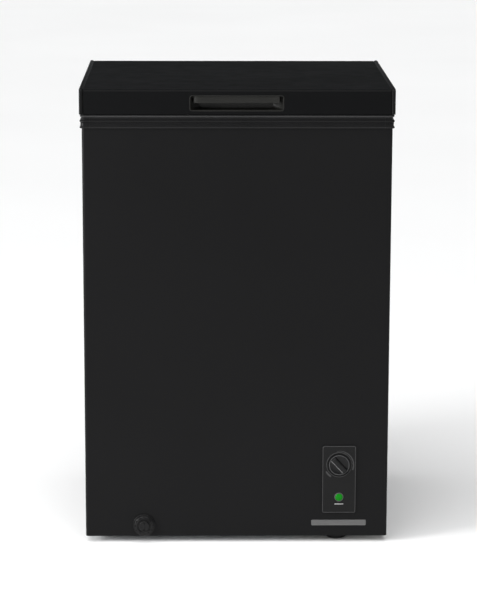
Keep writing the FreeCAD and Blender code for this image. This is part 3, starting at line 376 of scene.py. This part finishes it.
def arc_points(u, v, radius, start, stop, steps=6):
    """Points on an arc in a section, angles in degrees."""
    return [(u + radius * math.cos(math.radians(start + (stop - start) * step / steps)),
             v + radius * math.sin(math.radians(start + (stop - start) * step / steps)))
            for step in range(steps + 1)]


def middle_of(node):
    """The middle of a CAD node's box."""
    low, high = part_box(node)
    return (low + high) / 2


def scaled(pairs):
    """Pairs of millimetres turned to metres."""
    return [(first * MM, second * MM) for first, second in pairs]


# ---------------------------------------------------------------- collar
COLLAR_SECTION = scaled(
    [(-57.4, 786.2), (-57.4, 795.6), (-56.2, 797), (-2.7, 797)]
    + [(0.6, 794.6), (1.0, 793.0), (0.6, 791.2), (0.2, 789.8), (0.4, 788.4)]
    + arc_points(1.3, 785.6, 2.3, 85, -80)
    + [(2.2, 782.4), (2.0, 776.4), (3.2, 775.6), (3.7, 774.4), (3.3, 773.2), (0.1, 773), (0.1, 786.2)])
COLLAR_EDGE = scaled([(0.2, 793.0), (0.2, 796.0)] + arc_points(1.6, 795.0, 1.7, 130, -60) + [(1.8, 793.0)])


def collar_section(reach):
    """The part of the collar's section that lies within a reach of the steel."""
    return [(max(out, -reach), z) for out, z in COLLAR_SECTION]


def strip(section, start, end, outward):
    """A straight length of a section between two points on the steel's face."""
    rings = []
    for x, y in (start, end):
        rings.append([Vector((x + outward[0] * out, y + outward[1] * out, z)) for out, z in section])
    return skin(rings)


def make_collar():
    """Four strips and four corner pieces with a groove, a bead and a lower lip, and a grey ring along the top
    edge that is painted highlight.
    """
    wrap_low, wrap_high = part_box("cabinet_wrap")
    front_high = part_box("collar_front")[1]
    half, front, rear = wrap_high.x, wrap_low.y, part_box("rear_panel")[1].y - 1.2 * MM
    end = front_high.x
    reach = half - end
    gap = 0.15 * MM
    full, edge = COLLAR_SECTION, collar_section(reach)
    turn_in = front_high.y
    for name, y, way in (("collar_front", front, -1), ("collar_rear", rear, 1)):
        piece(name, "cabinet", "collar_plastic",
              [strip(full, (-end + gap, y), (end - gap, y), (0, way))], [name])
    for name, side in (("collar_left", -1), ("collar_right", 1)):
        x = side * half
        runs = [(full, turn_in, -turn_in + front + rear), (edge, front + reach + gap, turn_in),
                (edge, front + rear - turn_in, rear - reach - gap)]
        piece(name, "cabinet", "collar_plastic",
              [strip(section, (x, a), (x, b), (side, 0)) for section, a, b in runs], [name])
    radius = 5 * MM
    corners = []
    for side in (-1, 1):
        for face, way in ((front, -1), (rear, 1)):
            centre = Vector((side * (half - radius), face - way * radius, 0))
            inner = Vector((side * end, face - way * reach, 0))
            rings = [[Vector((side * end, face + way * out, z)) for out, z in edge]]
            for step in range(9):
                angle = math.pi / 2 * (1 - step / 8)
                out_way = Vector((side * math.cos(angle), way * math.sin(angle), 0))
                rings.append([Vector((0, 0, z)) + (centre + out_way * (radius + out)
                                                   if out > -radius else inner)
                              for out, z in edge])
            rings.append([Vector((side * (half + out), face - way * reach, z)) for out, z in edge])
            corners.append(skin(rings))
    piece("collar_corners", "cabinet", "collar_plastic", corners, ["collar_corners"])

    depth = (rear - front) / 2
    loop = []
    for out, z in COLLAR_EDGE:
        outline = rounded_outline(half + out, depth + out, radius + out)
        loop.append([Vector((u, (front + rear) / 2 + v, z)) for u, v in outline])
    # The ring along the collar's top edge is coloured grey as painted highlight, for the light it catches
    # under the lid.
    piece("collar_edge", "cabinet", "collar_plastic", [skin(loop, closed=True)], look="edge_highlight_plastic")


# ---------------------------------------------------------------- lid
def make_end_caps():
    """The raised ends of the lid, wrapped over its front, top and back."""
    for name, side in (("lid_end_cap_left", -1), ("lid_end_cap_right", 1)):
        low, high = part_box(name)
        width = high.x - low.x
        outer = low.x if side < 0 else high.x
        corner = 7 * MM
        section = [(width, -5 * MM), (width, -2.1 * MM), (width - 0.7 * MM, -1.5 * MM),
                   (width - 2.2 * MM, -0.5 * MM), (width - 3.4 * MM, 0)]
        section += [(u * MM, v * MM) for u, v in arc_points(2.6, -2.6, 2.6, 90, 180)]
        section += [(0, -5 * MM)]
        stations = [(Vector((0, low.y, low.z)), Vector((0, -1, 0)))]
        for step in range(9):
            angle = math.pi / 2 * step / 8
            way = Vector((0, -math.cos(angle), math.sin(angle)))
            stations.append((Vector((0, low.y + corner, high.z - corner)) + way * corner, way))
        for step in range(9):
            angle = math.pi / 2 * step / 8
            way = Vector((0, math.sin(angle), math.cos(angle)))
            stations.append((Vector((0, high.y - corner, high.z - corner)) + way * corner, way))
        stations.append((Vector((0, high.y, low.z)), Vector((0, 1, 0))))
        rings = [[Vector((outer - side * u, 0, 0)) + base + way * v for u, v in section]
                 for base, way in stations]
        web = [[Vector((outer - side * u, y, z))
                for y, z in ((low.y + 3 * MM, low.z), (low.y + 3 * MM, high.z - 4 * MM),
                             (high.y - 3 * MM, high.z - 4 * MM), (high.y - 3 * MM, low.z))]
               for u in (0.3 * MM, width)]
        piece(name, "lid", "lid_trim", [skin(rings), skin(web)], [name])


def make_handle():
    """The finger recess with a rolled bezel and flared cheeks, and the bar across its upper half."""
    low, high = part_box("handle_cup")
    centre = Vector(((low.x + high.x) / 2, low.y, (low.z + high.z) / 2))
    half_u, half_v = (high.x - low.x) / 2, (high.z - low.z) / 2
    levels = scaled([(1.2, -25.6), (0.6, -2), (0, -0.4), (0, 0.3), (0.3, 0.75), (0.9, 0.9), (1.4, 0.7),
                     (1.7, 0.1), (1.9, -1.2)])
    rings = front_rings(centre, half_u, half_v, 5 * MM, levels)
    depth = high.y - low.y
    for step in range(1, 9):
        share = step / 8
        flare = (2.0 + 17 * share ** 1.6) * MM
        pinch = (2.0 + 1.6 * share ** 3) * MM
        outline = rounded_outline(half_u - flare, half_v - pinch, (3.4 + 3 * share) * MM)
        rings.append([Vector((centre.x + u, centre.y + share * (depth - 1.6 * MM), centre.z + v))
                      for u, v in outline])
    piece("handle_cup", "lid", "black_plastic", [skin(rings)], ["handle_cup"], look="cup_plastic")

    low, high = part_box("handle_grip")
    left_gap, right_gap = 6 * MM, 7 * MM
    behind_bezel = low.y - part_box("handle_cup")[0].y
    section = [(y * MM, z * MM) for y, z in
               arc_points(1.6, 1.6, 1.6, 180, 270) + arc_points(4.4, 1.6, 1.6, 270, 360)]
    top = high.z - low.z
    section += [(6 * MM, top), (0.5 * MM, top), (0, top - 1.4 * MM)]
    rings = []
    stations = 36
    for step in range(stations + 1):
        share = step / stations
        length = high.x - low.x - left_gap - right_gap
        x = low.x + left_gap + length * share
        sink = 3.0 * MM * max(0, 1 - share * length / (9 * MM)) ** 2
        rise = behind_bezel * max(0, 1 - (1 - share) * length / (16 * MM)) ** 1.3
        rings.append([Vector((x, low.y + y + sink - rise, low.z + z)) for y, z in section])
    piece("handle_grip", "lid", "grip_plastic", [skin(rings)], ["handle_grip"])


def make_gasket():
    """The magnetic seal: a flat foot, a bellows and a rounded sealing bulb."""
    low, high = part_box("lid_gasket")
    centre = (low + high) / 2
    half_u, half_v = (high.x - low.x) / 2, (high.y - low.y) / 2
    deep = high.z - low.z
    section = [(0.5, 0), (0.5, 1.2), (3.4, 2.0), (1.2, 3.2), (3.0, 4.2)]
    section += [(6.0 - 5.8 * math.cos(math.radians(a)), 7.6 + 4.0 * math.sin(math.radians(a)))
                for a in (-20, 0, 25, 50, 75, 90)]
    section += [(12, deep / MM), (16.5, 10.2), (14.2, 4.6), (16, 3.0), (13.8, 1.8), (16.5, 0)]
    rings = []
    for inset, drop in scaled(section):
        outline = rounded_outline(half_u - inset, half_v - inset, max(14 * MM - inset, 1 * MM), 6)
        rings.append([Vector((centre.x + u, centre.y + v, high.z - min(drop, deep))) for u, v in outline])
    piece("lid_gasket", "lid", "gasket_rubber", [skin(rings, closed=True)], ["lid_gasket"])


# ---------------------------------------------------------------- controls
def make_panel_marks():
    """The outline, the graduated arc round the dial, its rim (coloured grey as painted highlight), and a
    plain bar under the lamp.
    """
    low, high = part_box("control_panel")
    face = Vector(((low.x + high.x) / 2, low.y, (low.z + high.z) / 2))
    levels = scaled([(0.5, -0.5), (0.5, 0.15), (0.75, 0.3), (1.3, 0.3), (1.55, 0.15), (1.55, -0.5)])
    frame_rings = front_rings(face, (high.x - low.x) / 2, (high.z - low.z) / 2, 3.4 * MM, levels)
    piece("panel_outline", "cabinet", "panel_plastic", [skin(frame_rings, closed=True)], look="print_and_highlight_grey")

    dial = middle_of("thermostat_knob")
    dial.y = low.y
    bead = arc_points(23.1, 0, 0.62, -20, 200, 8)
    # The dial's rim bead is coloured grey as painted highlight, for the light its edge catches.
    piece("dial_rim", "cabinet", "panel_plastic", [lathe(dial, scaled(bead), closed=True)], look="print_and_highlight_grey")

    marks = [band(dial, 25.4, 0.6, 2.6, 98, -22), band(dial, 25.4, 3.4, 3.4, 236, 208)]
    for index in range(7):
        angle = 98 - 110 * index / 6
        marks.append(band(dial, 24.4, 1.2, 1.2, angle + 1.1, angle - 1.1))
    piece("dial_scale", "cabinet", "panel_plastic", marks, look="print_and_highlight_grey")

    lamp = middle_of("indicator_lens")
    lamp.y = low.y
    collar = [(7.05, -1.5), (7.05, 0.7), (7.4, 1.1), (7.9, 1.1), (8.3, 0.6), (8.5, 0), (8.5, -1.5)]
    # The lamp's collar ring is coloured lighter grey as painted highlight, for the light its rim catches.
    piece("lamp_collar", "cabinet", "panel_plastic", [lathe(lamp, scaled(collar), closed=True)],
          look="rim_highlight_plastic")
    bar = Vector((lamp.x, low.y, lamp.z - 13.2 * MM))
    rings = front_rings(bar, 8.4 * MM, 0.9 * MM, 0.85 * MM, scaled([(0, -0.3), (0, 0.12), (0.25, 0.25)]))
    piece("lamp_bar", "cabinet", "panel_plastic", [skin(rings)], look="print_and_highlight_white")


def band(centre, radius, start_width, end_width, start, stop, steps=28):
    """A thin raised arc outside a radius whose width changes along it; millimetres and degrees."""
    rings = []
    for step in range(steps + 1):
        share = step / steps
        angle = math.radians(start + (stop - start) * share)
        width = start_width + (end_width - start_width) * share
        way = Vector((math.cos(angle), 0, math.sin(angle)))
        rings.append([centre + way * reach * MM - Vector((0, out * MM, 0))
                      for reach, out in ((radius, -0.4), (radius, 0.2), (radius + width, 0.2),
                                         (radius + width, -0.4))])
    return skin(rings)


KNOB_LEAN = 43            # degrees that the knob's bar leans to the left at rest


def make_knob():
    """A dished disc with a ribbed edge and a bar across it; a pale stripe along one flank of the bar is
    painted highlight, for the light that flank catches.
    """
    low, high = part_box("thermostat_knob")
    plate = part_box("control_panel")[0].y
    centre = Vector(((low.x + high.x) / 2, plate, (low.z + high.z) / 2))
    radius = (high.x - low.x) / 2 / MM
    ribs = 60
    rings = []
    for inset, out, grip in ((3, -0.6, 0), (0.7, -0.6, 0), (0.2, 0.1, 1), (0, 1.6, 1), (0.5, 2.7, 0.6),
                             (1.3, 3.2, 0), (2.6, 3.0, 0), (4.2, 2.2, 0), (9, 1.9, 0), (15, 1.9, 0)):
        ring = []
        for step in range(ribs * 4):
            angle = 2 * math.pi * step / (ribs * 4)
            wave = grip * 0.22 * (1 - math.cos(angle * ribs))
            reach = (radius - inset - wave) * MM
            ring.append(centre + Vector((reach * math.cos(angle), -out * MM, reach * math.sin(angle))))
        rings.append(ring)
    surfaces = [skin(rings)]

    lean = math.radians(KNOB_LEAN)
    along = Vector((-math.sin(lean), 0, math.cos(lean)))
    across = Vector((math.cos(lean), 0, math.sin(lean)))
    surfaces.append(skin([[centre + along * v + across * u - Vector((0, out * MM, 0))
                           for u, v in rounded_outline(half_u * MM, half_v * MM, 3.2 * MM, 5)]
                          for half_u, half_v, out in ((5.6, 17.4, 1.6), (5.0, 17.0, 4.0), (4.4, 16.4, 6.2),
                                                      (3.6, 15.6, 7.1), (3.2, 15.0, 7.3))]))
    piece("thermostat_knob", "thermostat_knob", "black_plastic", surfaces, ["thermostat_knob"],
          look="knob_plastic")
    # The knob's rim ring is coloured lighter grey as painted highlight, for the light its edge catches.
    rim = arc_points(radius - 1.3, 3.1, 0.5, 0, 180, 6) + [(radius - 1.8, 2.8), (radius - 0.8, 2.8)]
    piece("knob_rim", "thermostat_knob", "black_plastic", [lathe(centre, scaled(rim), closed=True)],
          look="rim_highlight_plastic")
    # A pale stripe on the bar's lower-left flank: painted highlight, for the light that flank catches.
    line = [[centre + along * v * MM + across * u * MM - Vector((0, out * MM, 0))
             for u, out in ((-5.7, 1.9), (-6.2, 2.1), (-5.5, 5.6), (-4.9, 5.5))] for v in (-15, 15.4)]
    piece("knob_flank_highlight", "thermostat_knob", "black_plastic", [skin(line)], look="print_and_highlight_white")


def make_lens():
    """A domed lens with a flat skirt."""
    low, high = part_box("indicator_lens")
    centre = Vector(((low.x + high.x) / 2, high.y, (low.z + high.z) / 2))
    deep = (high.y - low.y) / MM
    outline = [(6.95, 0), (6.95, deep - 2.4)] + [
        (6.95 * math.cos(math.radians(a)), deep - 2.4 + 2.4 * math.sin(math.radians(a)))
        for a in (12, 25, 40, 55, 70, 84)]
    piece("indicator_lens", "cabinet", "lens_plastic", [lathe(centre, scaled(outline))], ["indicator_lens"])


def make_badge():
    """A plain satin badge with a soft edge."""
    low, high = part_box("badge_plate")
    centre = Vector(((low.x + high.x) / 2, high.y, (low.z + high.z) / 2))
    rings = front_rings(centre, (high.x - low.x) / 2, (high.z - low.z) / 2, 2 * MM,
                        scaled([(0, 0), (0, 0.5), (0.25, 0.8), (0.6, 0.9), (1.1, 0.9), (1.3, 0.7)]))
    piece("badge_plate", "cabinet", "badge_metal", [skin(rings)], ["badge_plate"])


def make_drain():
    """The drain's rolled bezel and its dial with a coin slot and a finger ring."""
    low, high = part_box("drain_bezel")
    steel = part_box("cabinet_wrap")[0].y
    centre = Vector(((low.x + high.x) / 2, steel, (low.z + high.z) / 2))
    bezel = [(14.15, -9), (15.9, -9), (15.9, -0.05), (20.7, -0.05)]
    bezel += arc_points(19.4, 1.9, 1.3, 0, 90) + [(18.5, 2.9), (18.3, 3.6)] + [(17.4, 4), (14.15, 4)]
    piece("drain_bezel", "cabinet", "drain_plastic", [lathe(centre, scaled(bezel), closed=True)],
          ["drain_bezel"])

    top = (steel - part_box("drain_dial")[0].y) / MM
    ring = [(0.01, -9), (11.4, -9), (11.4, 4.25), (17.6, 4.25), (18.2, 4.9), (18.2, 6.6), (17.6, 7.2)]
    ring += [(15.0, 7.6), (13.6, 8.3), (12.4, 7.9), (11.6, 7.3), (10.2, 7.3)]
    ring += [(9.4, 8.2), (9.2, top - 0.6), (8.6, top), (6, top), (0.01, top - 0.5)]
    lobes = []
    for index in range(12):
        angle = math.radians(30 * index)
        way = Vector((math.cos(angle), 0, math.sin(angle)))
        lobe = scaled([(1.3, 6), (1.3, 8.0), (0.9, 8.5), (0.01, 8.6)])
        lobes.append(lathe(centre + way * 16.6 * MM, lobe, steps=14))
    bar = front_rings(centre, 2.2 * MM, 8.2 * MM, 1.6 * MM,
                      scaled([(0, top - 2), (0, top - 0.3), (0.4, top)]))
    piece("drain_dial", "drain_dial", "drain_plastic", [lathe(centre, scaled(ring)), skin(bar)] + lobes,
          ["drain_dial"])


# ---------------------------------------------------------------- feet and hinge covers
def make_feet():
    """Moulded feet: a rounded, narrower pad below, a straight waist and a narrower neck above."""
    radius = 20.4
    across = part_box("cabinet_feet")[1].x - radius * MM
    right_front, left_front, rear = -196.6 * MM, -152 * MM, 186 * MM
    places = [(across, right_front), (-across, left_front), (across, rear), (-across, rear)]
    outline = [(0.01, 0), (15, 0), (17.6, 0.5), (18.8, 1.6), (18.6, 2.6), (radius, 3.1), (radius, 8.6),
               (19.6, 9.6), (18.6, 10), (18.4, 12.7), (0.01, 12.7)]
    surfaces = []
    for x, y in places:
        surfaces.append(lathe(Vector((x, y, 0)), scaled(outline), "up", 48))
    piece("cabinet_feet", "cabinet", "black_plastic", surfaces, ["cabinet_feet"])


def make_hinge_covers():
    """Soft-edged snap covers over the hinge springs."""
    low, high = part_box("hinge_covers")
    half = 13 * MM
    surfaces = []
    for side in (-1, 1):
        x = side * (high.x - half)
        rings = []
        for inset, out in scaled([(0, 0), (0, 17.0), (0.6, 18.9), (1.8, 20.1), (3.2, 20.5)]):
            outline = rounded_outline(half - inset, (high.z - low.z) / 2 - inset, 3.5 * MM)
            rings.append([Vector((x + u, low.y + out, (low.z + high.z) / 2 + v)) for u, v in outline])
        inner = []
        for inset, out in scaled([(2, 18.9), (2, 0)]):
            outline = rounded_outline(half - inset, (high.z - low.z) / 2 - inset, 2.5 * MM)
            inner.append([Vector((x + u, low.y + out, (low.z + high.z) / 2 + v)) for u, v in outline])
        outer_points, outer_faces = skin(rings, cap_first=False)
        inner_points, inner_faces = skin(inner, cap_last=False)
        surfaces += [(outer_points, outer_faces), (inner_points, inner_faces)]
        mouth = [rings[0], inner[1]]
        surfaces.append(skin(mouth, False, False))
        for step in range(3):
            groove = Vector((x, low.y + 20.5 * MM, low.z + (20 + 14 * step) * MM))
            outline = rounded_outline(8 * MM, 1.4 * MM, 1.2 * MM, 4)
            surfaces.append(skin([[groove + Vector((u * grow, (out - 0.6) * MM, v * grow))
                                   for u, v in outline]
                                  for grow, out in ((1, 0), (1, 0.4), (0.9, 0.6))]))
    piece("hinge_covers", "cabinet", "black_plastic", surfaces, ["hinge_covers"])


# ---------------------------------------------------------------- stage and light
def studio_sky():
    """Pale round the horizon, like the floor, and dim overhead, so black faces stay black."""
    world = bpy.data.worlds.new("studio")
    world.use_nodes = True
    tree = world.node_tree
    where = tree.nodes.new("ShaderNodeTexCoord")
    split = tree.nodes.new("ShaderNodeSeparateXYZ")
    fade = tree.nodes.new("ShaderNodeMapRange")
    for socket, value in (("From Min", 0.05), ("From Max", 0.12), ("To Min", 0.5), ("To Max", 0.09)):
        fade.inputs[socket].default_value = value
    background = tree.nodes["Background"]
    background.inputs["Color"].default_value = (0.94, 0.97, 1.0, 1)
    tree.links.new(where.outputs["Generated"], split.inputs["Vector"])
    tree.links.new(split.outputs["Z"], fade.inputs["Value"])
    tree.links.new(fade.outputs["Result"], background.inputs["Strength"])
    return world


def make_stage():
    """A wide pale floor under soft light from above."""
    bpy.ops.mesh.primitive_plane_add(size=120)
    floor = bpy.context.object
    floor.name = "floor"
    made = Nodes("pale_floor")
    made.link(made.mix(made.range(made.noise(0.8, 2), 0, 1), (0.88, 0.88, 0.88), (0.9, 0.9, 0.9)),
              made.shader.inputs["Base Color"])
    made.shader.inputs["Roughness"].default_value = 0.8
    made.shader.inputs["Specular IOR Level"].default_value = 0.2
    floor.data.materials.append(made.material)

    scene.world = studio_sky()

    sky = bpy.data.lights.new("overhead", "SUN")
    sky.energy = 3.4
    sky.angle = math.radians(80)
    overhead = bpy.data.objects.new("overhead", sky)
    overhead.rotation_euler = (math.radians(22), math.radians(-8), 0)
    scene.collection.objects.link(overhead)

    target = Vector((0, 0, 0.6))
    for name, place, size, power in (
        ("key_left", (-3.0, -1.7, 1.2), 1.0, 110),
        ("fill_right", (3.0, -1.4, 1.3), 1.2, 8),
    ):
        data = bpy.data.lights.new(name, "AREA")
        data.size = size
        data.energy = power
        lamp = bpy.data.objects.new(name, data)
        lamp.location = place
        lamp.rotation_euler = (target - Vector(place)).to_track_quat("-Z", "Y").to_euler()
        scene.collection.objects.link(lamp)


make_camera()
make_stage()
dress_cad_nodes()
make_collar()
make_end_caps()
make_handle()
make_gasket()
make_panel_marks()
make_knob()
make_lens()
make_badge()
make_drain()
make_feet()
make_hinge_covers()
